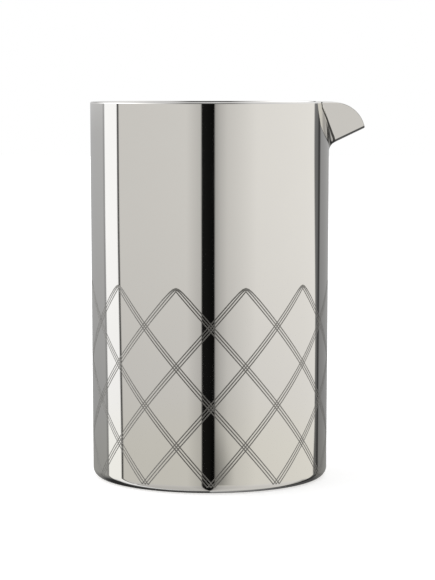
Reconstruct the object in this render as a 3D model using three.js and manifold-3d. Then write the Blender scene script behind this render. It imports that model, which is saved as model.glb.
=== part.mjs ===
// Double-walled mixing tin with a welded-in pouring spout, in millimetres, +Z up.
// The origin is the centre of the base, and the spout points along +X.
import * as THREE from "three";
import { mergeVertices } from "three/addons/utils/BufferGeometryUtils.js";
import Module from "manifold-3d";

const wasm = await Module();
wasm.setup();

// Overall form
const TIN_HEIGHT = 145;
const RIM_DIAMETER = 92;
const WALL_DRAFT_ANGLE = 0.25;
const FOOT_CORNER_RADIUS = 3.6;
const FOOT_FLANGE_WIDTH = 5;

// Sheet gauges and the clearance left at every seam
const SHELL_WALL = 0.7;
const CUP_WALL = 0.7;
const BASE_WALL = 0.9;
const SPOUT_WALL = 0.7;
const SEAM_GAP = 0.2;

// Inner cup
const AIR_GAP = 4;
const FLOOR_GAP = 6;
const CUP_CORNER_RADIUS = 9;
const LIP_BEND_RADIUS = 1;
const COLLAR_MARGIN = 3.5;
const SHOULDER_HEIGHT = 10;

// Base pan
const PAN_STEP_WIDTH = 1.6;
const PAN_STEP_CLEARANCE = 0.6;

// Spout, measured on the face that the drink runs over
const SPOUT_REACH = 13.5;
const SPOUT_DEPTH = 16.2;
const SPOUT_TIP_DROP = 9.4;
const SPOUT_LEVEL_LENGTH = 1;
const SPOUT_SIDE_ANGLE = 46;
const SPOUT_KEEL_RADIUS = 0.9;
const SPOUT_ROOT_BLEND = 3.4;
const SPOUT_SIDE_BLEND = 1.6;
const SPOUT_END_LENGTH = 1;

// Fineness of the round forms
const TURN_SEGMENTS = 72;
const CORNER_SEGMENTS = 4;
const SHOULDER_SEGMENTS = 6;
const SPOUT_COLUMNS = 36;
const KEEL_CROWDING = 0.4;
const BLEND_SEGMENTS = 5;
const TROUGH_SEGMENTS = 3;

const RIM_RADIUS = RIM_DIAMETER / 2;
const wallDraft = Math.tan(THREE.MathUtils.degToRad(WALL_DRAFT_ANGLE));
const collarInset = SHELL_WALL + SEAM_GAP + CUP_WALL;

// Outside radius of the drafted wall at a height above the base.
function wallRadius(z) {
  return RIM_RADIUS - (TIN_HEIGHT - z) * wallDraft;
}

// Points of an arc about a centre, between two angles in degrees.
function arcPoints(cx, cz, radius, from, to, segments) {
  return Array.from({ length: segments + 1 }, (_, i) => {
    const angle = THREE.MathUtils.degToRad(from + ((to - from) * i) / segments);
    return new THREE.Vector2(cx + radius * Math.cos(angle), cz + radius * Math.sin(angle));
  });
}

// The line moved sideways by a distance, to the left of its direction, with mitred corners.
function offsetLine(line, distance) {
  const normals = line.slice(1).map((point, i) => {
    const along = point.clone().sub(line[i]).normalize();
    return new THREE.Vector2(-along.y, along.x);
  });
  return line.map((point, i) => {
    const before = normals[Math.max(i - 1, 0)];
    const after = normals[Math.min(i, normals.length - 1)];
    const mitre = before.clone().add(after).divideScalar(1 + before.dot(after));
    return point.clone().addScaledVector(mitre, distance);
  });
}

// A turned sheet between its outside and inside lines of (radius, height) points.
function turnedSheet(outside, inside) {
  const outline = [...outside, ...inside.slice().reverse()];
  if (outside[0].x > 0) {
    outline.push(outside[0].clone());
  }
  const geometry = new THREE.LatheGeometry(outline, TURN_SEGMENTS);
  return geometry.rotateX(Math.PI / 2);
}

function solidOf(geometry) {
  const bare = geometry.clone();
  bare.deleteAttribute("normal");
  bare.deleteAttribute("uv");
  const welded = mergeVertices(bare);
  return new wasm.Manifold(
    new wasm.Mesh({
      numProp: 3,
      vertProperties: new Float32Array(welded.attributes.position.array),
      triVerts: new Uint32Array(welded.index.array),
    }),
  );
}

function geometryOf(solid) {
  const mesh = solid.getMesh();
  const geometry = new THREE.BufferGeometry();
  geometry.setAttribute("position", new THREE.BufferAttribute(new Float32Array(mesh.vertProperties), 3));
  geometry.setIndex(new THREE.BufferAttribute(new Uint32Array(mesh.triVerts), 1));
  geometry.computeVertexNormals();
  return geometry;
}

// Geometry from a list of points and a list of triangles.
function geometryFrom(points, triangles) {
  const geometry = new THREE.BufferGeometry();
  geometry.setFromPoints(points);
  geometry.setIndex(triangles.flat());
  geometry.computeVertexNormals();
  return geometry;
}

// Spout trough: its keel runs straight from the wall to the tip, its section is a rounded V,
// and its lip stays level with the rim before it falls to the tip along an arc.
const troughRootX = RIM_RADIUS - SPOUT_WALL;
const troughTipX = RIM_RADIUS + SPOUT_REACH;
const lipFallX = RIM_RADIUS + SPOUT_LEVEL_LENGTH;
const lipArcRadius = ((troughTipX - lipFallX) ** 2 + SPOUT_TIP_DROP ** 2) / (2 * SPOUT_TIP_DROP);
const lipArcHeight = TIN_HEIGHT - lipArcRadius;
const keelSlope = (SPOUT_DEPTH - SPOUT_TIP_DROP) / (troughTipX - troughRootX);
const keelDirection = new THREE.Vector3(1, 0, keelSlope).normalize();
const sideSlope = Math.tan(THREE.MathUtils.degToRad(SPOUT_SIDE_ANGLE));

function keelHeight(x) {
  return TIN_HEIGHT - SPOUT_DEPTH + keelSlope * (x - troughRootX);
}

// Height of the trough's side above its keel at a distance from the middle.
function sideRise(y) {
  const rounding = SPOUT_KEEL_RADIUS * sideSlope;
  return sideSlope * (Math.hypot(y, rounding) - rounding);
}

// Where the trough's line at a distance from the middle leaves the wall.
function troughRoot(y) {
  const point = new THREE.Vector3(troughRootX, y, TIN_HEIGHT);
  for (let pass = 0; pass < 6; pass += 1) {
    const radius = wallRadius(point.z) - SPOUT_WALL;
    point.x = Math.sqrt(radius * radius - y * y);
    point.z = keelHeight(point.x) + sideRise(y);
  }
  return point;
}

// Where the same line ends at the lip.
function troughLip(y) {
  const levelX = troughRootX + (SPOUT_DEPTH - sideRise(y)) / keelSlope;
  const point = new THREE.Vector3(levelX, y, TIN_HEIGHT);
  if (levelX > lipFallX) {
    const above = keelHeight(lipFallX) + sideRise(y) - lipArcHeight;
    const square = 1 + keelSlope ** 2;
    const across = Math.sqrt(square * lipArcRadius ** 2 - above ** 2);
    point.x = lipFallX + (across - keelSlope * above) / square;
    point.z = keelHeight(point.x) + sideRise(y);
  }
  return point;
}

// Half width at which the trough has become so short that it ends against the rim.
function troughHalfWidth() {
  let inside = 0;
  let outside = RIM_RADIUS * 0.9;
  for (let pass = 0; pass < 40; pass += 1) {
    const y = (inside + outside) / 2;
    if (troughLip(y).x - troughRoot(y).x > SPOUT_END_LENGTH) {
      inside = y;
    } else {
      outside = y;
    }
  }
  return inside;
}

const spoutHalfWidth = troughHalfWidth();

// Profile of the spout at a distance from the middle: it starts tangent to the wall,
// bends through the concave blend and runs straight to the lip.
function spoutProfile(y) {
  const root = troughRoot(y);
  const lip = troughLip(y);
  const side = Math.abs(y) / spoutHalfWidth;
  const blend = SPOUT_SIDE_BLEND + (SPOUT_ROOT_BLEND - SPOUT_SIDE_BLEND) * (1 - side) ** 2;
  const reach = Math.min(blend, root.distanceTo(lip) / 2);
  const outward = new THREE.Vector3(root.x, root.y, 0).normalize();
  const upWall = keelDirection.clone().addScaledVector(outward, -keelDirection.dot(outward)).normalize();
  const start = root.clone().addScaledVector(upWall, -reach);
  const fit = (wallRadius(start.z) - SPOUT_WALL) / Math.hypot(start.x, start.y);
  start.set(start.x * fit, start.y * fit, start.z);
  const end = root.clone().addScaledVector(keelDirection, reach);
  const bend = new THREE.QuadraticBezierCurve3(start, root, end);
  const straight = new THREE.LineCurve3(end, lip);
  return [...bend.getPoints(BLEND_SEGMENTS), ...straight.getPoints(TROUGH_SEGMENTS).slice(1)];
}

// Columns of the spout's wetted face, from one side to the other.
// They stand closest along the keel and at both ends.
const spoutFace = Array.from({ length: SPOUT_COLUMNS + 1 }, (_, i) => {
  const share = (i / SPOUT_COLUMNS) * 2 - 1;
  const crowded = share * (KEEL_CROWDING + (1 - KEEL_CROWDING) * share * share);
  return spoutProfile(spoutHalfWidth * Math.sin((crowded * Math.PI) / 2));
});

// Direction from the wetted face of the spout to its outside, at one point of the grid.
// Along the seam it is square to the wall.
function spoutNormal(i, j) {
  if (j === 0) {
    return spoutFace[i][0].clone().setZ(0).normalize();
  }
  const columns = spoutFace.length - 1;
  const rows = spoutFace[0].length - 1;
  const across = spoutFace[Math.min(i + 1, columns)][j].clone().sub(spoutFace[Math.max(i - 1, 0)][j]);
  const along = spoutFace[i][Math.min(j + 1, rows)].clone().sub(spoutFace[i][Math.max(j - 1, 0)]);
  return along.cross(across).negate().normalize();
}

// The spout as one pressed sheet: two faces the gauge apart, closed along all four edges.
function spoutGeometry() {
  const columns = spoutFace.length;
  const rows = spoutFace[0].length;
  const inner = spoutFace.flat();
  const outer = spoutFace.flatMap((column, i) =>
    column.map((point, j) => point.clone().addScaledVector(spoutNormal(i, j), SPOUT_WALL)),
  );
  const at = (i, j, layer) => layer * columns * rows + i * rows + j;
  const triangles = [];
  const quad = (a, b, c, d) => triangles.push([a, b, c], [a, c, d]);
  for (let i = 0; i < columns - 1; i += 1) {
    for (let j = 0; j < rows - 1; j += 1) {
      quad(at(i, j, 0), at(i, j + 1, 0), at(i + 1, j + 1, 0), at(i + 1, j, 0));
      quad(at(i, j, 1), at(i + 1, j, 1), at(i + 1, j + 1, 1), at(i, j + 1, 1));
    }
    quad(at(i, 0, 0), at(i + 1, 0, 0), at(i + 1, 0, 1), at(i, 0, 1));
    quad(at(i, rows - 1, 0), at(i, rows - 1, 1), at(i + 1, rows - 1, 1), at(i + 1, rows - 1, 0));
  }
  for (let j = 0; j < rows - 1; j += 1) {
    quad(at(0, j, 0), at(0, j, 1), at(0, j + 1, 1), at(0, j + 1, 0));
    quad(at(columns - 1, j, 0), at(columns - 1, j + 1, 0), at(columns - 1, j + 1, 1), at(columns - 1, j, 1));
  }
  return geometryFrom([...inner, ...outer], triangles);
}

// Edge of the notch on the unrolled wall, as (angle times rim radius, height), one seam gap
// outside the spout's own edge and carried up past the rim.
function notchOutline() {
  const edge = spoutFace.map(([start]) => new THREE.Vector2(Math.atan2(start.y, start.x) * RIM_RADIUS, start.z));
  const above = TIN_HEIGHT + SPOUT_DEPTH;
  const open = [new THREE.Vector2(edge[0].x, above), ...edge, new THREE.Vector2(edge.at(-1).x, above)];
  return offsetLine(open, -SEAM_GAP);
}

// A cutter through both walls with the outline of the notch, whose sides all point at the tin's axis.
// Rings close to the wall keep its sides true there, and its ends lie well clear of the wall.
function notchCutter() {
  const outline = notchOutline();
  const count = outline.length;
  const radii = [RIM_RADIUS / 2, RIM_RADIUS - 2 * collarInset, RIM_RADIUS + collarInset, RIM_RADIUS * 2];
  const points = radii.flatMap((radius) =>
    outline.map(({ x, y }) => {
      const angle = x / RIM_RADIUS;
      return new THREE.Vector3(radius * Math.cos(angle), radius * Math.sin(angle), y);
    }),
  );
  const last = count * (radii.length - 1);
  const triangles = [];
  for (const [a, b, c] of THREE.ShapeUtils.triangulateShape(outline, [])) {
    triangles.push([a, c, b], [a + last, b + last, c + last]);
  }
  for (let base = 0; base < last; base += count) {
    for (let i = 0; i < count; i += 1) {
      const here = base + i;
      const next = base + ((i + 1) % count);
      triangles.push([here, next, next + count], [here, next + count, here + count]);
    }
  }
  return geometryFrom(points, triangles);
}

// Outer shell: turned-in foot, rounded corner and drafted wall, up to the lip of the cup.
const shellTop = TIN_HEIGHT - CUP_WALL - SEAM_GAP;
const cornerCentreRadius = wallRadius(FOOT_CORNER_RADIUS) - FOOT_CORNER_RADIUS;
const footOpeningRadius = cornerCentreRadius - FOOT_FLANGE_WIDTH;
const shellLine = [
  new THREE.Vector2(footOpeningRadius, 0),
  ...arcPoints(cornerCentreRadius, FOOT_CORNER_RADIUS, FOOT_CORNER_RADIUS, -90, 0, CORNER_SEGMENTS),
  new THREE.Vector2(wallRadius(shellTop), shellTop),
];

// Base pan: a flat panel level with the foot, stepped up to lap over the turned-in foot.
const panRimHeight = SHELL_WALL + SEAM_GAP;
const panStepRadius = footOpeningRadius - PAN_STEP_CLEARANCE;
const panLine = [
  new THREE.Vector2(0, 0),
  new THREE.Vector2(panStepRadius - PAN_STEP_WIDTH, 0),
  new THREE.Vector2(panStepRadius, panRimHeight),
  new THREE.Vector2(cornerCentreRadius, panRimHeight),
];

// Inner cup, drawn along its wetted face from the middle of the floor up to the lip.
const bodyInset = SHELL_WALL + AIR_GAP + CUP_WALL;
const floorHeight = panRimHeight + BASE_WALL + FLOOR_GAP + CUP_WALL;
const notchBottom = Math.min(...spoutFace.map(([start]) => start.z));
const shoulderTop = notchBottom - COLLAR_MARGIN;
const shoulderFoot = shoulderTop - SHOULDER_HEIGHT;
const cupCornerZ = floorHeight + CUP_CORNER_RADIUS;
const cupCornerCentre = wallRadius(cupCornerZ) - bodyInset - CUP_CORNER_RADIUS;
const shoulderPoints = Array.from({ length: SHOULDER_SEGMENTS + 1 }, (_, i) => {
  const share = i / SHOULDER_SEGMENTS;
  const z = shoulderFoot + SHOULDER_HEIGHT * share;
  const swell = (1 - Math.cos(Math.PI * share)) / 2;
  return new THREE.Vector2(wallRadius(z) - bodyInset + (bodyInset - collarInset) * swell, z);
});
const lipBendZ = TIN_HEIGHT - LIP_BEND_RADIUS;
const lipBendCentre = wallRadius(lipBendZ) - collarInset + LIP_BEND_RADIUS;
const cupLine = [
  new THREE.Vector2(0, floorHeight),
  ...arcPoints(cupCornerCentre, cupCornerZ, CUP_CORNER_RADIUS, -90, 0, CORNER_SEGMENTS + 1),
  ...shoulderPoints,
  ...arcPoints(lipBendCentre, lipBendZ, LIP_BEND_RADIUS, 180, 90, CORNER_SEGMENTS - 1),
  new THREE.Vector2(RIM_RADIUS, TIN_HEIGHT),
];

const notch = solidOf(notchCutter());
const notched = (geometry) => geometryOf(solidOf(geometry).subtract(notch));

const mirrorSteel = { color: 0xd0cdc7, roughness: 0.08, metalness: 1 };
const satinSteel = { color: 0xbdbab4, roughness: 0.35, metalness: 1 };

const tin = new THREE.Group();
tin.name = "mixing_tin";

function addPiece(name, geometry, finish) {
  const piece = new THREE.Mesh(geometry, new THREE.MeshStandardMaterial(finish));
  piece.name = name;
  tin.add(piece);
}

addPiece("outer_shell", notched(turnedSheet(shellLine, offsetLine(shellLine, SHELL_WALL))), mirrorSteel);
addPiece("inner_cup", notched(turnedSheet(offsetLine(cupLine, -CUP_WALL), cupLine)), satinSteel);
addPiece("base_plate", turnedSheet(panLine, offsetLine(panLine, BASE_WALL)), satinSteel);
addPiece("spout", spoutGeometry(), mirrorSteel);

export default tin;
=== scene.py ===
"""Dress the mixing tin: polished steel, an etched lattice, a satin inside and a plain studio."""

import logging
import math
from bisect import bisect_right
from dataclasses import dataclass, field
from enum import Enum

import bpy
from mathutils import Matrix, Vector
from mathutils.geometry import delaunay_2d_cdt


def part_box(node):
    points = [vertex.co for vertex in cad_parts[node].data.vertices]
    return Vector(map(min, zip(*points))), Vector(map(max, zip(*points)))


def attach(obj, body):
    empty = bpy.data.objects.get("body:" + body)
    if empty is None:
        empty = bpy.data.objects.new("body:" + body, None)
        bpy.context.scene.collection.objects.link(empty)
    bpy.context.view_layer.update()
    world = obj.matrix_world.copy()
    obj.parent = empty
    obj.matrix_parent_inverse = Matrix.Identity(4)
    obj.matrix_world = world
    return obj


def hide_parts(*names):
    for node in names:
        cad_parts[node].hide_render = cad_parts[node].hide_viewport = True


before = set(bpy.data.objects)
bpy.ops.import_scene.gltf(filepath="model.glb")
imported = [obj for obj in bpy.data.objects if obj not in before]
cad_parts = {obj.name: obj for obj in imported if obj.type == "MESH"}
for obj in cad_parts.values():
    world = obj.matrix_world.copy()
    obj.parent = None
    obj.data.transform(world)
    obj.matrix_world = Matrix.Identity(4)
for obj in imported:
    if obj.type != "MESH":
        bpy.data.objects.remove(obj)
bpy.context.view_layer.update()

LOG = logging.getLogger("mixing_tin")
MM = 0.001
# Angle in radians that a side of the notch leans, so that it has a top and a bottom column
NOTCH_SIDE = 1e-4

Pair = tuple[float, float]
Span = tuple[float, float]
Section = list[Pair]
Colour = tuple[float, float, float, float]
Socket = bpy.types.NodeSocket

RISING: Span = (0.0, 1.0)
FALLING: Span = (1.0, 0.0)


class Node(Enum):
    """CAD nodes that a piece stands for."""

    SHELL = "outer_shell"
    CUP = "inner_cup"
    BASE = "base_plate"
    SPOUT = "spout"


class Slot(Enum):
    """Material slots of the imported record."""

    MIRROR = "mirror_steel"
    SATIN = "satin_steel"


class NodeGraph:
    """A shader node tree under construction."""

    def __init__(self, tree: bpy.types.NodeTree) -> None:
        """Start with an empty tree.

        Args:
            tree: The node tree to fill.
        """
        self.tree = tree
        tree.nodes.clear()

    def add(self, kind: str, **settings: object) -> bpy.types.Node:
        """Add a node.

        Args:
            kind: Blender's node type.
            settings: Properties to set on the node.

        Returns:
            The new node.
        """
        node = self.tree.nodes.new(kind)
        for name, value in settings.items():
            setattr(node, name, value)
        return node

    def feed(self, socket: Socket, value: object) -> None:
        """Link a socket's source, or set its value.

        Args:
            socket: The input socket.
            value: An output socket, or a plain value.
        """
        if isinstance(value, Socket):
            self.tree.links.new(value, socket)
        else:
            socket.default_value = value

    def math(self, operation: str, *values: object) -> Socket:
        """Add a math node.

        Args:
            operation: Blender's math operation.
            values: Its inputs, as sockets or numbers.

        Returns:
            The node's output.
        """
        node = self.add("ShaderNodeMath", operation=operation)
        for socket, value in zip(node.inputs, values):
            self.feed(socket, value)
        return node.outputs[0]

    def noise(self, vector: Socket, scale: float, detail: float) -> Socket:
        """Add a noise texture.

        Args:
            vector: Where the noise is read.
            scale: Its frequency.
            detail: Its number of octaves.

        Returns:
            The noise value, about 0 to 1.
        """
        node = self.add("ShaderNodeTexNoise")
        self.feed(node.inputs["Vector"], vector)
        self.feed(node.inputs["Scale"], scale)
        self.feed(node.inputs["Detail"], detail)
        return node.outputs["Fac"]

    def span(self, value: object, source: Span, target: Span = RISING) -> Socket:
        """Map a value smoothly from one range to another.

        Args:
            value: The value to map.
            source: Its low and high ends.
            target: What they become.

        Returns:
            The mapped value, held inside the target range.
        """
        node = self.add("ShaderNodeMapRange", interpolation_type="SMOOTHSTEP")
        for socket, given in zip(node.inputs, (value, *source, *target)):
            self.feed(socket, given)
        return node.outputs[0]

    def ramp(self, value: object, places: list[float], colours: list[tuple[float, ...]]) -> bpy.types.Node:
        """Add a colour ramp.

        Args:
            value: Where the ramp is read, 0 to 1.
            places: Positions of its stops.
            colours: Colour and alpha at each stop.

        Returns:
            The ramp node.
        """
        node = self.add("ShaderNodeValToRGB")
        self.feed(node.inputs[0], value)
        elements = node.color_ramp.elements
        while len(elements) < len(places):
            elements.new(1.0)
        for element, place, colour in zip(elements, places, colours):
            element.position = place
            element.color = colour
        return node

    def mix(self, factor: object, low: object, high: object) -> Socket:
        """Mix two colours.

        Args:
            factor: Share of the second colour.
            low: The first colour.
            high: The second colour.

        Returns:
            The mixed colour.
        """
        node = self.add("ShaderNodeMix", data_type="RGBA")
        self.feed(node.inputs["Factor"], factor)
        self.feed(node.inputs[6], low)
        self.feed(node.inputs[7], high)
        return node.outputs[2]


@dataclass(frozen=True)
class SteelFinish:
    """A steel surface with its wear and tool marks."""

    name: str
    colour: tuple[float, float, float]
    roughness: Span
    wave_depth: float = 0.0
    turning_depth: float = 0.0
    haze_scale: float = 38.0
    haze_detail: float = 4.0
    haze_dimming: float = 0.965
    wave_scale: float = 24.0
    wave_detail: float = 1.0
    turning_scale: float = 1700.0
    turning_detail: float = 3.0
    grain_range: Span = (0.3, 0.7)

    def material(self) -> bpy.types.Material:
        """Build the material.

        Returns:
            A metallic material with handling haze, slow waves of the sheet and fine turned lines.
        """
        made = bpy.data.materials.new(self.name)
        made.use_nodes = True
        graph = NodeGraph(made.node_tree)
        shader = graph.add("ShaderNodeBsdfPrincipled")
        shader.inputs["Metallic"].default_value = 1.0
        place = graph.add("ShaderNodeTexCoord").outputs["Object"]
        haze = graph.noise(place, self.haze_scale, self.haze_detail)
        dark = tuple(self.haze_dimming * c for c in self.colour)
        tint = graph.mix(haze, (*dark, 1.0), (*self.colour, 1.0))
        graph.feed(shader.inputs["Base Color"], tint)
        grain = haze
        wave = graph.noise(place, self.wave_scale, self.wave_detail)
        height = graph.math("MULTIPLY", wave, self.wave_depth)
        if self.turning_depth > 0.0:
            grain = self._turned_lines(graph, place)
            height = graph.math("ADD", height, graph.math("MULTIPLY", grain, self.turning_depth))
        graph.feed(shader.inputs["Roughness"], graph.span(grain, self.grain_range, self.roughness))
        bump = graph.add("ShaderNodeBump")
        bump.inputs["Distance"].default_value = 1.0
        graph.feed(bump.inputs["Height"], height)
        graph.feed(shader.inputs["Normal"], bump.outputs["Normal"])
        output = graph.add("ShaderNodeOutputMaterial")
        graph.feed(output.inputs["Surface"], shader.outputs["BSDF"])
        return made

    def _turned_lines(self, graph: NodeGraph, place: Socket) -> Socket:
        """Fine lines that run round the tin's axis.

        Args:
            graph: The node tree.
            place: Coordinates on the object.

        Returns:
            The line pattern, about 0 to 1.
        """
        split = graph.add("ShaderNodeSeparateXYZ")
        graph.feed(split.inputs[0], place)
        square = [graph.math("MULTIPLY", axis, axis) for axis in split.outputs[:2]]
        radius = graph.math("SQRT", graph.math("ADD", *square))
        ring = graph.add("ShaderNodeCombineXYZ")
        graph.feed(ring.inputs[0], radius)
        graph.feed(ring.inputs[2], split.outputs[2])
        return graph.noise(ring.outputs[0], self.turning_scale, self.turning_detail)


MIRROR = SteelFinish("polished_steel", (0.80, 0.79, 0.77), (0.025, 0.05), wave_depth=0.000004)
ETCHED = SteelFinish("etched_line", (0.268, 0.263, 0.252), (0.36, 0.46))
# Welded seam painted near black along the middle of the spout's blend: painted shade of the crease between wall and
# spout
WELD_AND_CREASE_SHADE = SteelFinish("weld_and_crease_shade", (0.1, 0.098, 0.095), (0.3, 0.45))
SATIN = SteelFinish("satin_steel", (0.76, 0.75, 0.73), (0.2, 0.34), turning_depth=0.000006)
BRUSHED = SteelFinish("brushed_base", (0.68, 0.67, 0.65), (0.26, 0.42), turning_depth=0.000009)


@dataclass
class MeshParts:
    """Points in millimetres with faces, a normal for every face corner and a material for every face."""

    points: list[Vector] = field(default_factory=list)
    faces: list[tuple[int, ...]] = field(default_factory=list)
    normals: list[Vector] = field(default_factory=list)
    finishes: list[int] = field(default_factory=list)

    def face(self, corners: tuple[int, ...], normals: list[Vector], finish: int = 0) -> None:
        """Add a face, turned so that it agrees with its normals.

        Args:
            corners: Indices of its points.
            normals: A normal for each corner.
            finish: Index of its material.
        """
        kept = [(c, n) for i, (c, n) in enumerate(zip(corners, normals)) if c != corners[i - 1]]
        if len(kept) < 3:
            return
        a, b, c = (self.points[kept[i][0]] for i in (0, 1, len(kept) - 1))
        if (b - a).cross(c - a).dot(sum((n for _, n in kept), Vector())) < 0.0:
            kept.reverse()
        self.faces.append(tuple(corner for corner, _ in kept))
        self.normals.extend(normal for _, normal in kept)
        self.finishes.append(finish)

    def piece(self, node: Node, finishes: list[SteelFinish]) -> bpy.types.Object:
        """Make the mesh object and tie it to the frame.

        Args:
            node: The CAD node that it stands for.
            finishes: Its materials, in the order of the face indices.

        Returns:
            The object, riding on the tin's body.
        """
        name = f"{node.value}_dressed"
        mesh = bpy.data.meshes.new(name)
        mesh.from_pydata([p * MM for p in self.points], [], self.faces)
        mesh.polygons.foreach_set("use_smooth", [True] * len(self.faces))
        mesh.polygons.foreach_set("material_index", self.finishes)
        for finish in finishes:
            mesh.materials.append(finish.material())
        mesh.normals_split_custom_set(self.normals)
        made = bpy.data.objects.new(name, mesh)
        bpy.context.scene.collection.objects.link(made)
        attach(made, "root")
        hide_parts(node.value)
        LOG.info("%s: %d faces", name, len(self.faces))
        return made


def turned(angle: float, radial: float, up: float) -> Vector:
    """A vector given by its angle round the axis, its radial part and its upward part.

    Args:
        angle: Angle from the spout, in radians.
        radial: Part along the radius.
        up: Part along the axis.

    Returns:
        The vector.
    """
    return Vector((radial * math.cos(angle), radial * math.sin(angle), up))


def arc(
    centre: Pair, radius: float, start: float, end: float, steps: int, stretch: float = 1.0
) -> Section:
    """Points of an arc in a section.

    Args:
        centre: Its centre, as radius and height.
        radius: Its own radius.
        start: First angle in degrees.
        end: Last angle in degrees.
        steps: Number of chords.
        stretch: Its height as a share of its width.

    Returns:
        The points, as radius and height.
    """
    angles = [math.radians(start + (end - start) * i / steps) for i in range(steps + 1)]
    return [(centre[0] + radius * math.cos(a), centre[1] + radius * stretch * math.sin(a)) for a in angles]


@dataclass
class Loft:
    """A skin through sections that stand round the tin's axis."""

    angles: list[float]
    sections: list[Section]
    crease: float = 0.8

    def into(self, parts: MeshParts, finishes: dict[int, int] | None = None) -> None:
        """Add the skin to a mesh.

        Args:
            parts: The mesh to add to.
            finishes: Material index of the stretches that don't have the first material.
        """
        finishes = finishes or {}
        rows = len(self.sections[0])
        corners = [[0] * rows for _ in self.angles]
        for i, (angle, section) in enumerate(zip(self.angles, self.sections)):
            for j, (radius, height) in enumerate(section):
                if radius < 1e-6 and i > 0:
                    corners[i][j] = corners[0][j]
                    continue
                corners[i][j] = len(parts.points)
                parts.points.append(turned(angle, radius, height))
        ends = [self._ends(section) for section in self.sections]
        for i in range(len(self.angles)):
            n = (i + 1) % len(self.angles)
            for j in range(rows - 1):
                face = (corners[i][j], corners[n][j], corners[n][j + 1], corners[i][j + 1])
                normals = [
                    turned(self.angles[i], *ends[i][j][0]),
                    turned(self.angles[n], *ends[n][j][0]),
                    turned(self.angles[n], *ends[n][j][1]),
                    turned(self.angles[i], *ends[i][j][1]),
                ]
                parts.face(face, normals, finishes.get(j, 0))

    def _ends(self, section: Section) -> list[tuple[Pair, Pair]]:
        """Normals at both ends of every stretch of a section, shared across gentle corners.

        Args:
            section: The points, with the outside to the right of their direction.

        Returns:
            Two normals for each stretch, as radial and upward parts.
        """
        flat: list[Pair] = []
        for (r0, z0), (r1, z1) in zip(section, section[1:]):
            length = math.hypot(r1 - r0, z1 - z0)
            last = flat[-1] if flat else (0.0, -1.0)
            flat.append(((z1 - z0) / length, (r0 - r1) / length) if length > 1e-7 else last)
        shared = []
        for here, after in zip(flat, flat[1:]):
            total = (here[0] + after[0], here[1] + after[1])
            size = math.hypot(*total)
            gentle = size > 2.0 * self.crease
            shared.append((total[0] / size, total[1] / size) if gentle else None)
        starts = [None, *shared]
        finals = [*shared, None]
        return [(s or f, e or f) for s, f, e in zip(starts, flat, finals)]


@dataclass(frozen=True)
class TinForm:
    """Sizes of the round pieces, in millimetres."""

    height: float
    rim_radius: float
    draft: float = math.tan(math.radians(0.25))
    foot_corner: float = 3.6
    foot_flange: float = 5.0
    shell_wall: float = 0.7
    collar_wall: float = 0.9
    cup_wall: float = 0.7
    base_wall: float = 0.9
    seam: float = 0.2
    air_gap: float = 4.0
    floor_height: float = 8.5
    cup_corner: float = 9.0
    lip: float = 0.7
    lip_bend: float = 0.3
    lip_bend_height: float = 0.65
    lip_edge: float = 1.1
    lip_edge_height: float = 0.4
    collar_margin: float = 3.5
    shoulder_height: float = 10.0
    pan_step: float = 1.6
    pan_clearance: float = 0.6

    @classmethod
    def from_frame(cls) -> "TinForm":
        """Take the height and the rim from the CAD frame."""
        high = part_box(Node.CUP.value)[1]
        return cls(height=high.z / MM, rim_radius=high.y / MM)

    def wall_radius(self, z: float) -> float:
        """Outside radius of the wall at a height."""
        return self.rim_radius - (self.height - z) * self.draft

    def wall_normal(self, angle: float) -> Vector:
        """Outward normal of the wall at an angle."""
        return turned(angle, 1.0, -self.draft).normalized()

    def corner_turn(self, along: float) -> float:
        """How far the foot's corner has turned under, in radians, at a distance along the wall from the floor."""
        return max(0.0, (self.foot_corner - along) / self.foot_corner)

    def outside(self, angle: float, along: float, depth: float) -> tuple[Vector, Vector]:
        """A point of the outside, measured along the wall and round the foot's corner.

        Args:
            angle: Angle round the axis.
            along: Height, or below the wall the length that is left of the corner.
            depth: Distance under the surface.

        Returns:
            The point and the outward normal.
        """
        turn = self.corner_turn(along)
        if turn == 0.0:
            return turned(angle, self.wall_radius(along) - depth, along), self.wall_normal(angle)
        normal = turned(angle, math.cos(turn), -math.sin(turn))
        centre = turned(angle, self.wall_radius(self.foot_corner) - self.foot_corner, self.foot_corner)
        return centre + normal * (self.foot_corner - depth), normal


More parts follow.
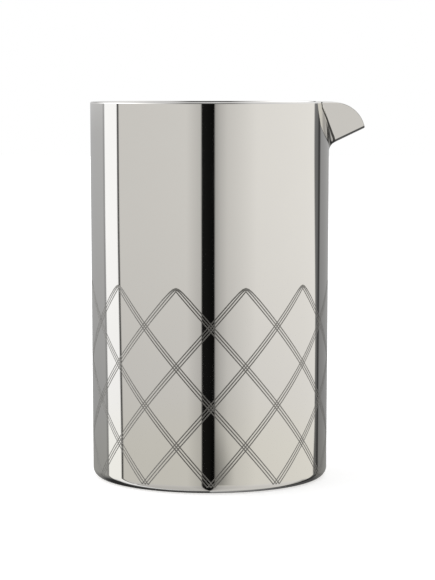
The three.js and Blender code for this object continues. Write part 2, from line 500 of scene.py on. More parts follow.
@dataclass
class SpoutForm:
    """The pressed trough: a straight keel, a rounded V section and a blend into the wall."""

    tin: TinForm
    wall: float = 0.7
    reach: float = 13.5
    depth: float = 16.2
    tip_drop: float = 9.4
    level: float = 1.0
    side_angle: float = 46.0
    keel_radius: float = 0.9
    root_blend: float = 3.4
    side_blend: float = 1.6
    end_length: float = 0.8
    columns: int = 120
    keel_crowding: float = 0.4
    blend_steps: int = 16
    trough_steps: int = 12
    blend_margin: float = 0.01
    # Width, place and sweep of the welded seam that is painted dark as shade of the crease
    weld_and_shade_width: float = 1.15
    weld_and_shade_share: float = 0.46
    weld_and_shade_sweep: float = 1.2
    edge_steps: int = 6
    edge_share: float = 0.9
    widest_share: float = 0.9
    root_rounds: int = 6
    width_rounds: int = 40

    def __post_init__(self) -> None:
        """Work out the lines that the sizes fix, and the whole wetted face."""
        self.root_x = self.tin.rim_radius - self.wall
        self.tip_x = self.tin.rim_radius + self.reach
        self.fall_x = self.tin.rim_radius + self.level
        fall = self.tip_x - self.fall_x
        self.arc_radius = (fall * fall + self.tip_drop**2) / (2.0 * self.tip_drop)
        self.keel_slope = (self.depth - self.tip_drop) / (self.tip_x - self.root_x)
        self.keel = Vector((1.0, 0.0, self.keel_slope)).normalized()
        self.side_slope = math.tan(math.radians(self.side_angle))
        self.half_width = self._half_width()
        shares = [2.0 * i / self.columns - 1.0 for i in range(self.columns + 1)]
        crowded = [t * (self.keel_crowding + (1.0 - self.keel_crowding) * t * t) for t in shares]
        self.face = [self._profile(self.half_width * math.sin(math.pi / 2.0 * t)) for t in crowded]
        seam = [column[0] for column in self.face]
        self.seam = [(math.atan2(p.y, p.x), p.z) for p in seam]
        self.seam_bottom = min(z for _, z in self.seam)

    def _keel_height(self, x: float) -> float:
        """Height of the keel at a distance from the axis."""
        return self.tin.height - self.depth + self.keel_slope * (x - self.root_x)

    def _side_rise(self, y: float) -> float:
        """Height of the side above the keel at a distance from the middle."""
        rounding = self.keel_radius * self.side_slope
        return self.side_slope * (math.hypot(y, rounding) - rounding)

    def _root(self, y: float) -> Vector:
        """Where the trough's line leaves the wall.

        Args:
            y: Distance from the middle.

        Returns:
            The point on the wetted face.
        """
        x, z = self.root_x, self.tin.height
        for _ in range(self.root_rounds):
            radius = self.tin.wall_radius(z) - self.wall
            x = math.sqrt(radius * radius - y * y)
            z = self._keel_height(x) + self._side_rise(y)
        return Vector((x, y, z))

    def _lip(self, y: float) -> Vector:
        """Where the trough's line ends, at the lip.

        Args:
            y: Distance from the middle.

        Returns:
            The point on the wetted face.
        """
        x = self.root_x + (self.depth - self._side_rise(y)) / self.keel_slope
        if x <= self.fall_x:
            return Vector((x, y, self.tin.height))
        above = self._keel_height(self.fall_x) + self._side_rise(y) - self.tin.height + self.arc_radius
        square = 1.0 + self.keel_slope**2
        across = math.sqrt(square * self.arc_radius**2 - above * above)
        x = self.fall_x + (across - self.keel_slope * above) / square
        return Vector((x, y, self._keel_height(x) + self._side_rise(y)))

    def _half_width(self) -> float:
        """Find where the trough runs out against the rim.

        Returns:
            The distance from the middle.
        """
        inside, outside = 0.0, self.widest_share * self.tin.rim_radius
        for _ in range(self.width_rounds):
            y = (inside + outside) / 2.0
            if self._lip(y).x - self._root(y).x > self.end_length:
                inside = y
            else:
                outside = y
        return inside

    def _profile(self, y: float) -> list[Vector]:
        """Line of the wetted face from the seam to the lip.

        Args:
            y: Distance from the middle.

        Returns:
            Points along the blend and the straight trough.
        """
        root, lip = self._root(y), self._lip(y)
        side = abs(y) / self.half_width
        blend = self.side_blend + (self.root_blend - self.side_blend) * (1.0 - side) ** 2
        reach = min(blend, (lip - root).length / 2.0)
        outward = Vector((root.x, root.y, 0.0)).normalized()
        up_wall = (self.keel - outward * self.keel.dot(outward)).normalized()
        start = root - up_wall * reach
        fit = (self.tin.wall_radius(start.z) - self.wall) / math.hypot(start.x, start.y)
        start = Vector((start.x * fit, start.y * fit, start.z))
        level = Vector((start.x, start.y, 0.0)).normalized()
        chord = root - start
        leave = (chord - level * chord.dot(level)).normalized() * chord.length
        end = root + self.keel * reach
        bend = [start, start + leave * (2 / 3), end - self.keel * reach * (2 / 3), end]
        steps = self._blend_steps(side, reach)
        curve = [
            bend[0] * (1 - t) ** 3 + bend[1] * 3 * t * (1 - t) ** 2 + bend[2] * 3 * t * t * (1 - t) + bend[3] * t**3
            for t in steps
        ]
        return curve + [end.lerp(lip, i / self.trough_steps) for i in range(1, self.trough_steps + 1)]

    def _blend_steps(self, side: float, reach: float) -> list[float]:
        """Steps along the blend, whose middle two rows hold the welded seam, painted dark as shade of the crease.

        Args:
            side: Distance from the middle as a share of the half width.
            reach: Length of either leg of the blend.

        Returns:
            Shares of the blend, from the wall to the trough.
        """
        rows = self.blend_steps // 2 - 1
        half = min(self.weld_and_shade_width / (4.0 * reach), self.weld_and_shade_share)
        middle = min(max(1.0 - side**self.weld_and_shade_sweep, half), 1.0 - half)
        inner = 1.0 - 2.0 * self.blend_margin
        low, high = (inner * edge + self.blend_margin for edge in (middle - half, middle + half))
        before = [low * i / rows for i in range(rows + 1)]
        after = [high + (1.0 - high) * i / rows for i in range(rows + 1)]
        return [*before, (low + high) / 2.0, *after]

    def normal(self, i: int, j: int) -> Vector:
        """Direction from the wetted face to the outside at a point of the grid.

        Args:
            i: Index of the column.
            j: Index of the row, from the seam.

        Returns:
            The unit normal.
        """
        if j == 0:
            return self.tin.wall_normal(self.seam[i][0])
        rows = len(self.face[0]) - 1
        across = self.face[min(i + 1, self.columns)][j] - self.face[max(i - 1, 0)][j]
        along = self.face[i][min(j + 1, rows)] - self.face[i][j - 1]
        return across.cross(along).normalized()


@dataclass
class Spout:
    """The pouring spout."""

    form: SpoutForm

    def build(self) -> bpy.types.Object:
        """Build and dress the spout.

        Returns:
            The spout as one sheet with a rounded lip.
        """
        parts = MeshParts()
        columns = [self._column(i) for i in range(self.form.columns + 1)]
        rows = len(columns[0])
        for column in columns:
            parts.points.extend(point for point, _ in column)
        # Middle row of the welded seam, whose two rows carry the painted shade of the crease
        weld_and_shade_row = self.form.blend_steps // 2
        for i in range(len(columns) - 1):
            for j in range(rows - 1):
                cells = ((i, j), (i + 1, j), (i + 1, j + 1), (i, j + 1))
                corners = tuple(a * rows + b for a, b in cells)
                finish = 1 if j in (weld_and_shade_row - 1, weld_and_shade_row) else 0
                parts.face(corners, [columns[a][b][1] for a, b in cells], finish)
        self._close(parts, columns[0], 0)
        self._close(parts, columns[-1], (len(columns) - 1) * rows)
        return parts.piece(Node.SPOUT, [MIRROR, WELD_AND_CREASE_SHADE])

    @staticmethod
    def _close(parts: MeshParts, column: list[tuple[Vector, Vector]], first: int) -> None:
        """Close one end of the sheet, between its outside and its wetted face.

        Args:
            parts: The mesh to add to.
            column: The end's line round the sheet.
            first: Index of the line's first point.
        """
        aside = Vector((0.0, math.copysign(1.0, column[0][0].y), 0.0))
        last = len(column) - 1
        for j in range(last // 2):
            corners = (first + j, first + j + 1, first + last - j - 1, first + last - j)
            parts.face(corners, [aside] * 4)

    def _column(self, i: int) -> list[tuple[Vector, Vector]]:
        """One line round the sheet: out along the outside, over the lip and back along the wetted face.

        Args:
            i: Index of the column.

        Returns:
            Points with their normals.
        """
        form = self.form
        line = form.face[i]
        ahead = (line[-1] - line[-2]).normalized()
        trim = min(form.wall / 2.0, (line[-1] - line[-2]).length * form.edge_share)
        line = [*line[:-1], line[-1] - ahead * trim]
        normals = [form.normal(i, j) for j in range(len(line))]
        outside = [(p + n * form.wall, n) for p, n in zip(line, normals)]
        middle = line[-1] + normals[-1] * form.wall / 2.0
        edge = []
        for step in range(1, form.edge_steps):
            turn = math.pi * step / form.edge_steps
            side = normals[-1] * math.cos(turn)
            front = ahead * math.sin(turn)
            edge.append((middle + side * form.wall / 2.0 + front * trim, (side + front).normalized()))
        inside = [(p, -n) for p, n in zip(line, normals)]
        return [*outside, *edge, *reversed(inside)]


@dataclass
class Lattice:
    """Triple etched lines in a band of diamonds, on the unrolled wall in millimetres."""

    tin: TinForm
    count: int = 11
    half_rows: int = 5
    top: float = 77.0
    pitch: float = 14.86
    foot: float = 2.5
    width: float = 0.46
    spacing: float = 1.03
    depth: float = 0.05
    crown_rounding: float = 1.8
    middle_rounding: float = 0.8
    crown_steps: tuple[float, ...] = (-3.0, -1.5, -0.7, 0.0, 0.7, 1.5, 3.0)
    valley_angle: float = math.radians(-89.3)

    def __post_init__(self) -> None:
        """Work out the unrolled radius, the slope and the peaks."""
        self.radius = self.tin.wall_radius(self.top / 2.0)
        step = 2.0 * math.pi * self.radius / self.count
        self.slope = 2.0 * self.pitch / step
        self.lean = math.cos(math.atan(self.slope))
        first = self.valley_angle * self.radius + step / 2.0
        turn = 2.0 * math.pi * self.radius
        half = turn / 2.0 + step * self.half_rows / 2.0
        peaks = [first + k * step for k in range(-2 * self.count, 2 * self.count)]
        self.peaks = [a for a in peaks if abs(a) < half]
        self.lines = [
            (self.spacing, self.crown_rounding),
            (0.0, self.middle_rounding),
            (-self.spacing, 0.0),
        ]

    def _height(self, across: float, offset: float, rounding: float) -> float:
        """Height of an edge of a line at a distance from its peak."""
        return self.top + offset / self.lean - self.slope * math.hypot(across, rounding)

    def _edge(self, peak: float, offset: float, rounding: float) -> list[Vector]:
        """Points of one edge of a line, from its left foot over the peak to its right foot.

        Args:
            peak: Where the peak stands on the unrolled wall.
            offset: Distance from the middle line, upwards.
            rounding: How far the peak is rounded.

        Returns:
            The points.
        """
        fall = (self.top + offset / self.lean - self.foot) / self.slope
        reach = math.sqrt(fall * fall - rounding * rounding)
        inner = [0.0] if rounding == 0.0 else [rounding * s for s in self.crown_steps]
        across = [-reach, *inner, reach]
        return [Vector((peak + a, self._height(a, offset, rounding))) for a in across]

    def ribbons(self) -> list[tuple[list[Vector], list[Vector]]]:
        """Both halves of every etched line.

        Returns:
            Pairs of edges, the lower and the upper one of each half.
        """
        half = self.width / 2.0
        made = []
        for peak in self.peaks:
            for offset, rounding in self.lines:
                low, middle, high = (self._edge(peak, offset + d, rounding) for d in (-half, 0.0, half))
                made.extend([(low, middle), (middle, high)])
        return made

    def depth_at(self, across: float, z: float) -> float:
        """Depth of the etching at a point of the unrolled wall.

        Args:
            across: Distance round the wall.
            z: Height.

        Returns:
            The depth, deepest along the middle of a line.
        """
        deepest = 0.0
        for peak in self.peaks:
            for offset, rounding in self.lines:
                away = abs(z - self._height(across - peak, offset, rounding)) * self.lean
                deepest = max(deepest, self.depth * (1.0 - 2.0 * away / self.width))
        return deepest


@dataclass
class OuterShell:
    """The outer wall with its foot, its notch and the etched lattice."""

    tin: TinForm
    spout: SpoutForm
    lattice: Lattice
    column_step: float = 2.0
    corner_row: float = 0.22
    inside_steps: int = 6
    corner_steps: int = 14

    def build(self) -> bpy.types.Object:
        """Build and dress the shell.

        Returns:
            The shell, with the etched lines as shallow grooves.
        """
        self.top = self.tin.height - self.tin.lip
        self.wall_foot = self.lattice.foot - self.corner_row
        self.columns = notch_columns(self.spout, self.top, self.column_step)
        parts = MeshParts()
        self._wall(parts)
        sections = [self._section(top) for _, top in self.columns]
        Loft([angle for angle, _ in self.columns], sections).into(parts)
        return parts.piece(Node.SHELL, [MIRROR, ETCHED])

    def _section(self, top: float) -> Section:
        """Section of the shell behind the outside of its wall.

        Args:
            top: Height of its edge.

        Returns:
            Points from the edge down the inside and round the foot.
        """
        tin = self.tin
        corner = (tin.wall_radius(tin.foot_corner) - tin.foot_corner, tin.foot_corner)
        opening = corner[0] - tin.foot_flange
        inside = tin.foot_corner - tin.shell_wall
        edge = tin.wall_radius(top)
        return [
            (edge, top),
            (edge - tin.shell_wall, top),
            *arc(corner, inside, 0.0, -90.0, self.inside_steps),
            (opening, tin.shell_wall),
            (opening, 0.0),
            *arc(corner, tin.foot_corner, -90.0, -math.degrees(tin.corner_turn(self.wall_foot)), self.corner_steps),
        ]

    def _wall(self, parts: MeshParts) -> None:
        """Add the outside of the wall, cut along the etched lines.

        Args:
            parts: The mesh to add to.
        """
        radius = self.lattice.radius
        columns = [*self.columns, (self.columns[0][0] + 2.0 * math.pi, self.columns[0][1])]
        tops = [Vector((angle * radius, top)) for angle, top in columns]
        flat, faces, sources = self._cut(tops)
        first = len(parts.points)
        normals = []
        for p in flat:
            depth = self.lattice.depth_at(p.x, p.y) if p.y >= self.lattice.foot - 1e-4 else 0.0
            point, normal = self.tin.outside(p.x / radius, p.y, depth)
            parts.points.append(point)
            normals.append(normal)
        for face, source in zip(faces, sources):
            if not self._holds(tops, sum((flat[i] for i in face), Vector((0.0, 0.0))) / 3.0):
                continue
            corners = tuple(first + i for i in face)
            if source:
                a, b, c = (parts.points[i] for i in corners)
                parts.face(corners, [(b - a).cross(c - a).normalized()] * 3, 1)
            else:
                parts.face(corners, [normals[i] for i in face])

    def _cut(self, tops: list[Vector]) -> tuple[list[Vector], list[list[int]], list[list[int]]]:
        """Cut the unrolled wall into triangles along its columns and the etched lines.

        Args:
            tops: Upper ends of the columns.

        Returns:
            The points, the triangles, and for each triangle the etched cells that hold it.
        """
        rows = [self.wall_foot]
        while rows[-1] < self.tin.foot_corner:
            rows.append(min(rows[-1] + self.corner_row, self.tin.foot_corner))
        points = [Vector((p.x, row)) for row in rows for p in tops] + tops
        count = len(tops)
        edges = [(i, len(rows) * count + i) for i in range(count)]
        for base in range(0, len(points), count):
            edges.extend((base + i, base + i + 1) for i in range(count - 1))
        cells = []
        for low, high in self.lattice.ribbons():
            start, size = len(points), len(low)
            points.extend([*low, *high])
            cells.extend((start + i, start + i + 1, start + size + i + 1, start + size + i) for i in range(size - 1))
        flat, _, faces, _, _, sources = delaunay_2d_cdt(points, edges, cells, 0, 1e-5)
        return flat, faces, sources

    def _holds(self, tops: list[Vector], spot: Vector) -> bool:
        """Whether a spot lies on the unrolled wall.

        Args:
            tops: Upper ends of the columns.
            spot: Distance round the wall, and height.

        Returns:
            True between the foot and the edge, notch included.
        """
        place = bisect_right(tops, spot.x, key=lambda p: p.x)
        if not 0 < place < len(tops) or spot.y < self.wall_foot:
            return False
        left, right = tops[place - 1], tops[place]
        share = (spot.x - left.x) / (right.x - left.x)
        return spot.y <= left.lerp(right, share).y


def notch_columns(spout: SpoutForm, top: float, step: float) -> list[Pair]:
    """Angles round a notched wall, with the height of its edge at each.

    Args:
        spout: The spout that fills the notch.
        top: Height of the edge away from the notch.
        step: Largest step between columns, in degrees.

    Returns:
        Pairs of angle and edge height, once round from the back.
    """
    start, end = spout.seam[0][0], spout.seam[-1][0]
    count = math.ceil(math.degrees(2.0 * math.pi - (end - start)) / step / 2.0)
    left = [(-math.pi + (start + math.pi) * i / count, top) for i in range(count)]
    right = [(end + (math.pi - end) * i / count, top) for i in range(1, count)]
    notch = [(angle, min(top, z)) for angle, z in spout.seam]
    return [*left, (start - NOTCH_SIDE, top), *notch, (end + NOTCH_SIDE, top), *right]


@dataclass
class InnerCup:
    """The liner with its collar, shoulder and turned-out lip."""

    tin: TinForm
    spout: SpoutForm
    column_step: float = 2.0
    shoulder_steps: int = 16
    corner_steps: int = 12
    lip_edge_steps: int = 8
    lip_bend_steps: int = 10
    edge_round: float = 0.6
    edge_land: float = 0.2

    def build(self) -> bpy.types.Object:
        """Build and dress the cup.

        Returns:
            The cup as one closed sheet, open at the notch.
        """
        columns = notch_columns(self.spout, math.inf, self.column_step)
        sections = [self._section(None if top == math.inf else top) for _, top in columns]
        angles = [angle for angle, _ in columns]
        start, end = self.spout.seam[0][0], self.spout.seam[-1][0]
        for edge, place in ((start, angles.index(start)), (end, angles.index(end) + 2)):
            angles.insert(place, edge)
            sections.insert(place, self._section(None))
        parts = MeshParts()
        first = len(self._side(0.0))
        polished = {first + i: 1 for i in range(len(self._lip()) - 1)}
        Loft(angles, sections).into(parts, polished)
        return parts.piece(Node.CUP, [SATIN, MIRROR])

    def _section(self, notch: float | None) -> Section:
        """Section of the cup.

        Args:
            notch: Height of the notch there, or None beside it.

        Returns:
            Points up the hidden side, over the edge and down the wetted face.
        """
        hidden = self._side(self.tin.cup_wall)
        wetted = self._side(0.0)
        edge = self._lip() if notch is None else self._notch_edge(notch)
        return [*hidden, *edge, *reversed(wetted)]

    def _side(self, out: float) -> Section:
        """One face of the sheet from the floor's middle to the foot of the collar.

        Args:
            out: Distance from the wetted face.

        Returns:
            The points.
        """
        tin = self.tin
        body = tin.shell_wall + tin.air_gap + tin.cup_wall - out
        collar = tin.shell_wall + (tin.collar_wall if out == 0.0 else 0.0)
        corner_z = tin.floor_height + tin.cup_corner
        radius = tin.cup_corner + out
        corner = (tin.wall_radius(corner_z) - body - radius, corner_z)
        low = self.spout.seam_bottom - tin.collar_margin - tin.shoulder_height
        points = [(0.0, corner_z - radius), *arc(corner, radius, -90.0, 0.0, self.corner_steps)]
        for i in range(self.shoulder_steps + 1):
            z = low + tin.shoulder_height * i / self.shoulder_steps
            swell = (1.0 - math.cos(math.pi * i / self.shoulder_steps)) / 2.0
            points.append((tin.wall_radius(z) - body + (body - collar) * swell, z))
        return points

    def _lip(self) -> Section:
        """The lip turned out over the shell's edge.

        Returns:
            Points from under the lip over its edge and down its bend.
        """
        tin = self.tin
        under = tin.height - tin.lip
        edge = (tin.rim_radius - tin.lip_edge, tin.height - tin.lip_edge_height)
        bend_z = tin.height - tin.lip_bend_height
        inner = tin.wall_radius(bend_z) - tin.shell_wall - tin.collar_wall
        bend = (inner + tin.lip_bend, bend_z)
        return [
            (tin.wall_radius(under) - tin.shell_wall, under),
            (tin.wall_radius(under), under),
            *arc(edge, tin.lip_edge, 0.0, 90.0, self.lip_edge_steps, tin.lip_edge_height / tin.lip_edge),
            *arc(bend, tin.lip_bend, 90.0, 180.0, self.lip_bend_steps, tin.lip_bend_height / tin.lip_bend),
        ]

    def _notch_edge(self, notch: float) -> Section:
        """The sheet's rounded edge along the notch.

        Args:
            notch: Height of the edge.

        Returns:
            As many points as the lip has.
        """
        tin = self.tin
        count = len(self._lip())
        outer = tin.wall_radius(notch) - tin.shell_wall
        wide = tin.collar_wall
        low = notch - self.edge_round
        curve = arc((outer - wide, low), wide, 0.0, 90.0, count - 2, self.edge_round / wide)
        return [(outer, low - self.edge_land), *curve]


@dataclass
class BasePlate:
    """The pressed pan that closes the foot."""

    tin: TinForm
    columns: int = 144
    bend_share: float = 0.2
    bend_rise: float = 0.06
    upper_shift: float = 0.3

    def build(self) -> bpy.types.Object:
        """Build and dress the pan.

        Returns:
            The pan as one turned sheet.
        """
        tin = self.tin
        rim = tin.wall_radius(tin.foot_corner) - tin.foot_corner
        step = rim - tin.foot_flange - tin.pan_clearance
        low, high = tin.shell_wall, tin.shell_wall + tin.base_wall
        section = [
            (0.0, 0.0),
            (step - tin.pan_step, 0.0),
            (step - tin.pan_step * (1.0 - self.bend_share), self.bend_rise),
            (step - tin.pan_step * self.bend_share, low - self.bend_rise),
            (step, low),
            (rim, low),
            (rim, high),
            (step - self.upper_shift, high),
            (step - tin.pan_step - self.upper_shift, tin.base_wall),
            (0.0, tin.base_wall),
        ]
        angles = [2.0 * math.pi * i / self.columns for i in range(self.columns)]
        parts = MeshParts()
        Loft(angles, [section] * self.columns).into(parts)
        return parts.piece(Node.BASE, [BRUSHED])


NEUTRAL = (1.0, 1.0, 1.0)
WARM = (1.0, 0.98, 0.94)


def grey(level: float) -> Colour:
    """A grey of a given level."""
    return (level, level, level, 1.0)


@dataclass(frozen=True)
class TentBand:
    """A stretch of the light tent, by its azimuth from the camera in degrees, to the right."""

    start: float
    end: float
    first: float
    last: float
    fading: float = 0.0
    tint: tuple[float, float, float] = WARM


@dataclass
class LightTent:
    """A tent of bright and dark stretches round the tin, with a dark slot for the camera."""

    bands: tuple[TentBand, ...] = (
        TentBand(-180.0, -125.5, 0.46, 0.54, 1.0, NEUTRAL),
        TentBand(-124.7, -122.2, 0.38, 0.38, 1.0, NEUTRAL),
        TentBand(-121.4, -100.6, 1.18, 1.18, 0.0, NEUTRAL),
        TentBand(-100.2, -98.2, 0.09, 0.09),
        TentBand(-97.8, -22.0, 0.72, 0.745),
        TentBand(-22.0, -8.2, 0.745, 0.58),
        TentBand(-7.6, 4.9, 0.01, 0.004),
        TentBand(5.6, 9.0, 0.42, 0.54),
        TentBand(9.0, 17.0, 0.54, 0.69),
        TentBand(17.0, 46.0, 0.69, 0.885),
        TentBand(46.0, 121.5, 0.885, 0.94),
        TentBand(122.5, 128.8, 0.19, 0.17, 1.0, NEUTRAL),
        TentBand(129.6, 133.2, 0.055, 0.055, 1.0, NEUTRAL),
        TentBand(134.0, 180.0, 0.33, 0.49, 1.0, NEUTRAL),
    )
    fade: tuple[Pair, ...] = (
        (-0.92, 0.6),
        (-0.7, 0.2),
        (-0.46, 0.16),
        (-0.32, 0.2),
        (-0.22, 0.28),
        (-0.17, 0.30),
        (-0.02, 0.45),
        (0.05, 1.0),
    )
    fade_level: float = 0.45
    upper: tuple[Pair, ...] = (
        (-180.0, 0.6),
        (-142.0, 0.4),
        (-122.0, 2.2),
        (-100.0, 2.4),
        (-70.0, 1.3),
        (-42.0, 0.6),
        (-22.0, 0.06),
        (22.0, 0.06),
        (42.0, 0.6),
        (100.0, 0.95),
        (140.0, 0.95),
        (180.0, 0.75),
    )
    upper_start: Span = (0.0, 0.1)
    roof_start: Span = (0.7, 0.9)
    zenith: float = 1.0
    # How much darker the front gets low down, and between which heights
    low_front: float = 0.88
    low_front_heights: Span = (-0.2, -0.04)
    floor_front: float = 0.885
    floor_front_heights: Span = (-0.8, -0.4)
    # Shades low down behind the tin, by depth, and at its left, by azimuth in radians
    low_back: float = 0.45
    low_back_heights: Span = (-0.48, -0.34)
    low_back_depths: Span = (0.24, 0.36)
    low_left: float = 0.75
    low_left_heights: Span = (-0.55, -0.38)
    low_left_side: Span = (-2.12, -1.95)
    # Warmer light just above the floor
    low_tint: Colour = (1.01, 1.005, 0.962, 1.0)
    tint_start: Span = (-0.17, -0.135)
    tint_end: Span = (-0.5, -0.3)
    # Lean of the outer stretches in degrees at two heights, with the azimuths in radians that bound it
    lean_left: Span = (4.3, 0.6)
    lean_left_heights: Span = (-0.19, -0.05)
    lean_left_start: Span = (-1.5, -1.0)
    lean_right: Span = (3.3, -1.7)
    lean_right_heights: Span = (-0.12, -0.02)
    lean_right_start: Span = (1.2, 1.7)
    lean_right_end: Span = (2.18, 2.29)
    lean_foot: float = -3.0
    lean_foot_heights: Span = (-0.18, -0.15)
    # Dark patch beside the camera's slot
    patch_level: float = 0.5
    patch_height: float = -0.2
    patch_reach: Pair = (0.52, 0.047)
    patch_start: Span = (0.0, 0.05)
    patch_fall: Span = (0.1, 1.05)

    def build(self) -> None:
        """Set the tent up as the world, white where the camera sees it."""
        world = bpy.data.worlds.new("light_tent")
        bpy.context.scene.world = world
        world.use_nodes = True
        graph = NodeGraph(world.node_tree)
        split = graph.add("ShaderNodeSeparateXYZ")
        graph.feed(split.inputs[0], graph.add("ShaderNodeTexCoord").outputs["Generated"])
        x, y, up = split.outputs
        azimuth = graph.math("ARCTAN2", x, graph.math("MULTIPLY", y, -1.0))
        turn = graph.math("MULTIPLY_ADD", azimuth, 0.5 / math.pi, 0.5)
        walls = self._walls(graph, self._leaning(graph, azimuth, up))
        level = self._level(graph, up, walls.outputs["Alpha"])
        shadows = (
            self._back_shade(graph, y, up),
            self._left_shade(graph, azimuth, up),
            self._patch(graph, azimuth, up),
        )
        for shadow in shadows:
            level = graph.math("MULTIPLY", level, graph.math("SUBTRACT", 1.0, shadow))
        shaded = graph.add("ShaderNodeVectorMath", operation="SCALE")
        graph.feed(shaded.inputs[0], walls.outputs["Color"])
        graph.feed(shaded.inputs["Scale"], level)
        warm = graph.add("ShaderNodeVectorMath", operation="MULTIPLY")
        graph.feed(warm.inputs[0], shaded.outputs[0])
        graph.feed(warm.inputs[1], self._warmth(graph, up))
        sides = graph.mix(graph.span(up, self.upper_start), warm.outputs[0], self._upper(graph, turn))
        light = graph.mix(graph.span(up, self.roof_start), sides, grey(self.zenith))
        seen = graph.add("ShaderNodeLightPath").outputs["Is Camera Ray"]
        background = graph.add("ShaderNodeBackground")
        graph.feed(background.inputs["Color"], graph.mix(seen, light, grey(1.0)))
        output = graph.add("ShaderNodeOutputWorld")
        graph.feed(output.inputs["Surface"], background.outputs["Background"])

    def _leaning(self, graph: NodeGraph, azimuth: Socket, up: Socket) -> Socket:
        """Let the outer stretches of the walls lean.

        Args:
            graph: The world's node tree.
            azimuth: Angle from the camera, in radians.
            up: Height on the tent.

        Returns:
            The azimuth at which the walls are read, as a share of a turn.
        """
        left, right = (tuple(math.radians(d) for d in lean) for lean in (self.lean_left, self.lean_right))
        left_side = graph.span(azimuth, self.lean_left_start, FALLING)
        left_lean = graph.math("MULTIPLY", graph.span(up, self.lean_left_heights, left), left_side)
        foot = graph.span(up, self.lean_foot_heights, (math.radians(self.lean_foot), 0.0))
        right_lean = graph.math("ADD", graph.span(up, self.lean_right_heights, right), foot)
        right_end = graph.span(azimuth, self.lean_right_end, FALLING)
        right_side = graph.math("MULTIPLY", graph.span(azimuth, self.lean_right_start), right_end)
        lean = graph.math("ADD", left_lean, graph.math("MULTIPLY", right_lean, right_side))
        return graph.math("MULTIPLY_ADD", graph.math("SUBTRACT", azimuth, lean), 0.5 / math.pi, 0.5)

    def _walls(self, graph: NodeGraph, turn: Socket) -> bpy.types.Node:
        """The stretches of the walls.

        Args:
            graph: The world's node tree.
            turn: Azimuth as a share of a turn.

        Returns:
            A ramp, whose alpha says how far a stretch fades with height.
        """
        places = [degrees / 360.0 + 0.5 for b in self.bands for degrees in (b.start, b.end)]
        colours = [(*(v * c for c in b.tint), b.fading) for b in self.bands for v in (b.first, b.last)]
        return graph.ramp(turn, places, colours)

    def _level(self, graph: NodeGraph, up: Socket, fading: Socket) -> Socket:
        """How bright the walls are by height.

        Args:
            graph: The world's node tree.
            up: Height on the tent, -1 to 1.
            fading: How far a stretch fades.

        Returns:
            The factor on a stretch's own level.
        """
        low = graph.span(up, self.low_front_heights, (self.low_front, 1.0))
        floor = graph.span(up, self.floor_front_heights, (self.floor_front, 1.0))
        front = graph.math("MULTIPLY", low, floor)
        height = graph.math("MULTIPLY_ADD", up, 0.5, 0.5)
        falling = graph.ramp(height, [0.5 + u / 2.0 for u, _ in self.fade], [grey(v) for _, v in self.fade])
        behind = graph.math("DIVIDE", falling.outputs["Color"], self.fade_level)
        level = graph.add("ShaderNodeMix", data_type="FLOAT")
        graph.feed(level.inputs["Factor"], fading)
        graph.feed(level.inputs[2], front)
        graph.feed(level.inputs[3], behind)
        return level.outputs[0]

    def _back_shade(self, graph: NodeGraph, y: Socket, up: Socket) -> Socket:
        """The shade low down behind the tin.

        Args:
            graph: The world's node tree.
            y: Depth on the tent, away from the camera.
            up: Height on the tent.

        Returns:
            How much it takes away.
        """
        under = graph.span(up, self.low_back_heights, (self.low_back, 0.0))
        return graph.math("MULTIPLY", under, graph.span(y, self.low_back_depths))

    def _left_shade(self, graph: NodeGraph, azimuth: Socket, up: Socket) -> Socket:
        """The shade low down at the left.

        Args:
            graph: The world's node tree.
            azimuth: Angle from the camera, in radians.
            up: Height on the tent.

        Returns:
            How much it takes away.
        """
        under = graph.span(up, self.low_left_heights, (self.low_left, 0.0))
        return graph.math("MULTIPLY", under, graph.span(azimuth, self.low_left_side, FALLING))

    def _warmth(self, graph: NodeGraph, up: Socket) -> Socket:
        """The warmer light just above the floor.

        Args:
            graph: The world's node tree.
            up: Height on the tent.

        Returns:
            The tint on the walls.
        """
        low = graph.span(up, self.tint_start, FALLING)
        near = graph.math("MULTIPLY", low, graph.span(up, self.tint_end))
        return graph.mix(near, grey(1.0), self.low_tint)

    def _patch(self, graph: NodeGraph, azimuth: Socket, up: Socket) -> Socket:
        """The soft dark patch beside the camera's slot.

        Args:
            graph: The world's node tree.
            azimuth: Angle from the camera, in radians.
            up: Height on the tent.

        Returns:
            How much it takes away.
        """
        aside = graph.math("DIVIDE", azimuth, self.patch_reach[0])
        below = graph.math("DIVIDE", graph.math("SUBTRACT", up, self.patch_height), self.patch_reach[1])
        away = graph.math("ADD", *(graph.math("MULTIPLY", v, v) for v in (aside, below)))
        shade = graph.span(away, self.patch_fall, (self.patch_level, 0.0))
        return graph.math("MULTIPLY", graph.span(azimuth, self.patch_start), shade)

    def _upper(self, graph: NodeGraph, turn: Socket) -> Socket:
        """The light above the walls.

        Args:
            graph: The world's node tree.
            turn: Azimuth as a share of a turn.

        Returns:
            Its colour.
        """
        places = [degrees / 360.0 + 0.5 for degrees, _ in self.upper]
        return graph.ramp(turn, places, [grey(v) for _, v in self.upper]).outputs["Color"]


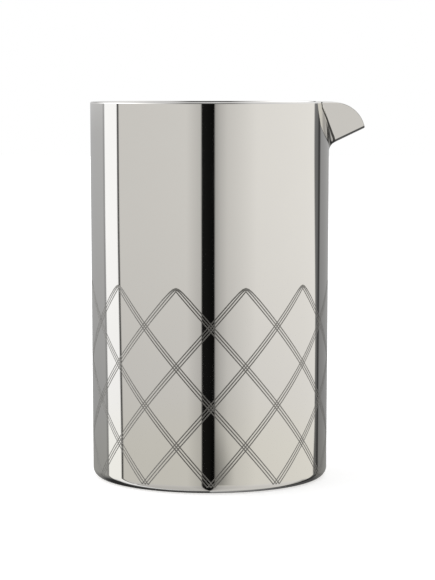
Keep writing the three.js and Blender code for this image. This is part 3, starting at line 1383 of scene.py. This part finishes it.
@dataclass
class Studio:
    """A white floor, the light tent and the camera."""

    tent: LightTent = field(default_factory=LightTent)
    floor_reach: float = 4.0
    floor_tone: float = 0.86
    floor_glow: float = 0.45
    floor_roughness: float = 0.9
    camera_place: tuple[float, float, float] = (0.00297, -0.874, 0.151)
    camera_tilt: float = 5.158
    focal_pixels: float = 2262.5
    frame_height: float = 580.0
    sensor_width: float = 36.0

    def build(self) -> None:
        """Set up the floor, the tent and the camera."""
        self._floor()
        self.tent.build()
        self._camera()
        bpy.context.scene.view_settings.view_transform = "Standard"

    def _floor(self) -> None:
        """A plain pale floor that keeps the tin's shadow."""
        mesh = bpy.data.meshes.new("floor")
        corners = [(-1, -1), (1, -1), (1, 1), (-1, 1)]
        mesh.from_pydata([(x * self.floor_reach, y * self.floor_reach, 0.0) for x, y in corners], [], [(0, 1, 2, 3)])
        floor = bpy.data.objects.new("floor", mesh)
        bpy.context.scene.collection.objects.link(floor)
        floor.visible_glossy = False
        mesh.materials.append(self._floor_paper())

    def _floor_paper(self) -> bpy.types.Material:
        """White paper that the camera sees a little brighter than it lights the tin.

        Returns:
            The floor's material.
        """
        material = bpy.data.materials.new("floor_paper")
        material.use_nodes = True
        graph = NodeGraph(material.node_tree)
        shader = graph.add("ShaderNodeBsdfPrincipled")
        shader.inputs["Base Color"].default_value = grey(self.floor_tone)
        shader.inputs["Roughness"].default_value = self.floor_roughness
        shader.inputs["Emission Color"].default_value = grey(1.0)
        seen = graph.add("ShaderNodeLightPath").outputs["Is Camera Ray"]
        graph.feed(shader.inputs["Emission Strength"], graph.math("MULTIPLY", seen, self.floor_glow))
        output = graph.add("ShaderNodeOutputMaterial")
        graph.feed(output.inputs["Surface"], shader.outputs["BSDF"])
        return material

    def _camera(self) -> None:
        """The camera of the photograph."""
        data = bpy.data.cameras.new("camera")
        data.sensor_width = self.sensor_width
        data.lens = self.focal_pixels / self.frame_height * self.sensor_width
        camera = bpy.data.objects.new("camera", data)
        camera.location = self.camera_place
        camera.rotation_euler = (math.radians(90.0 - self.camera_tilt), 0.0, 0.0)
        bpy.context.scene.collection.objects.link(camera)
        bpy.context.scene.camera = camera


def main() -> None:
    """Build the tin's pieces and the studio."""
    logging.basicConfig(level=logging.INFO)
    tin = TinForm.from_frame()
    spout = SpoutForm(tin)
    OuterShell(tin, spout, Lattice(tin)).build()
    Spout(spout).build()
    InnerCup(tin, spout).build()
    BasePlate(tin).build()
    Studio().build()


if __name__ == "__main__":
    main()
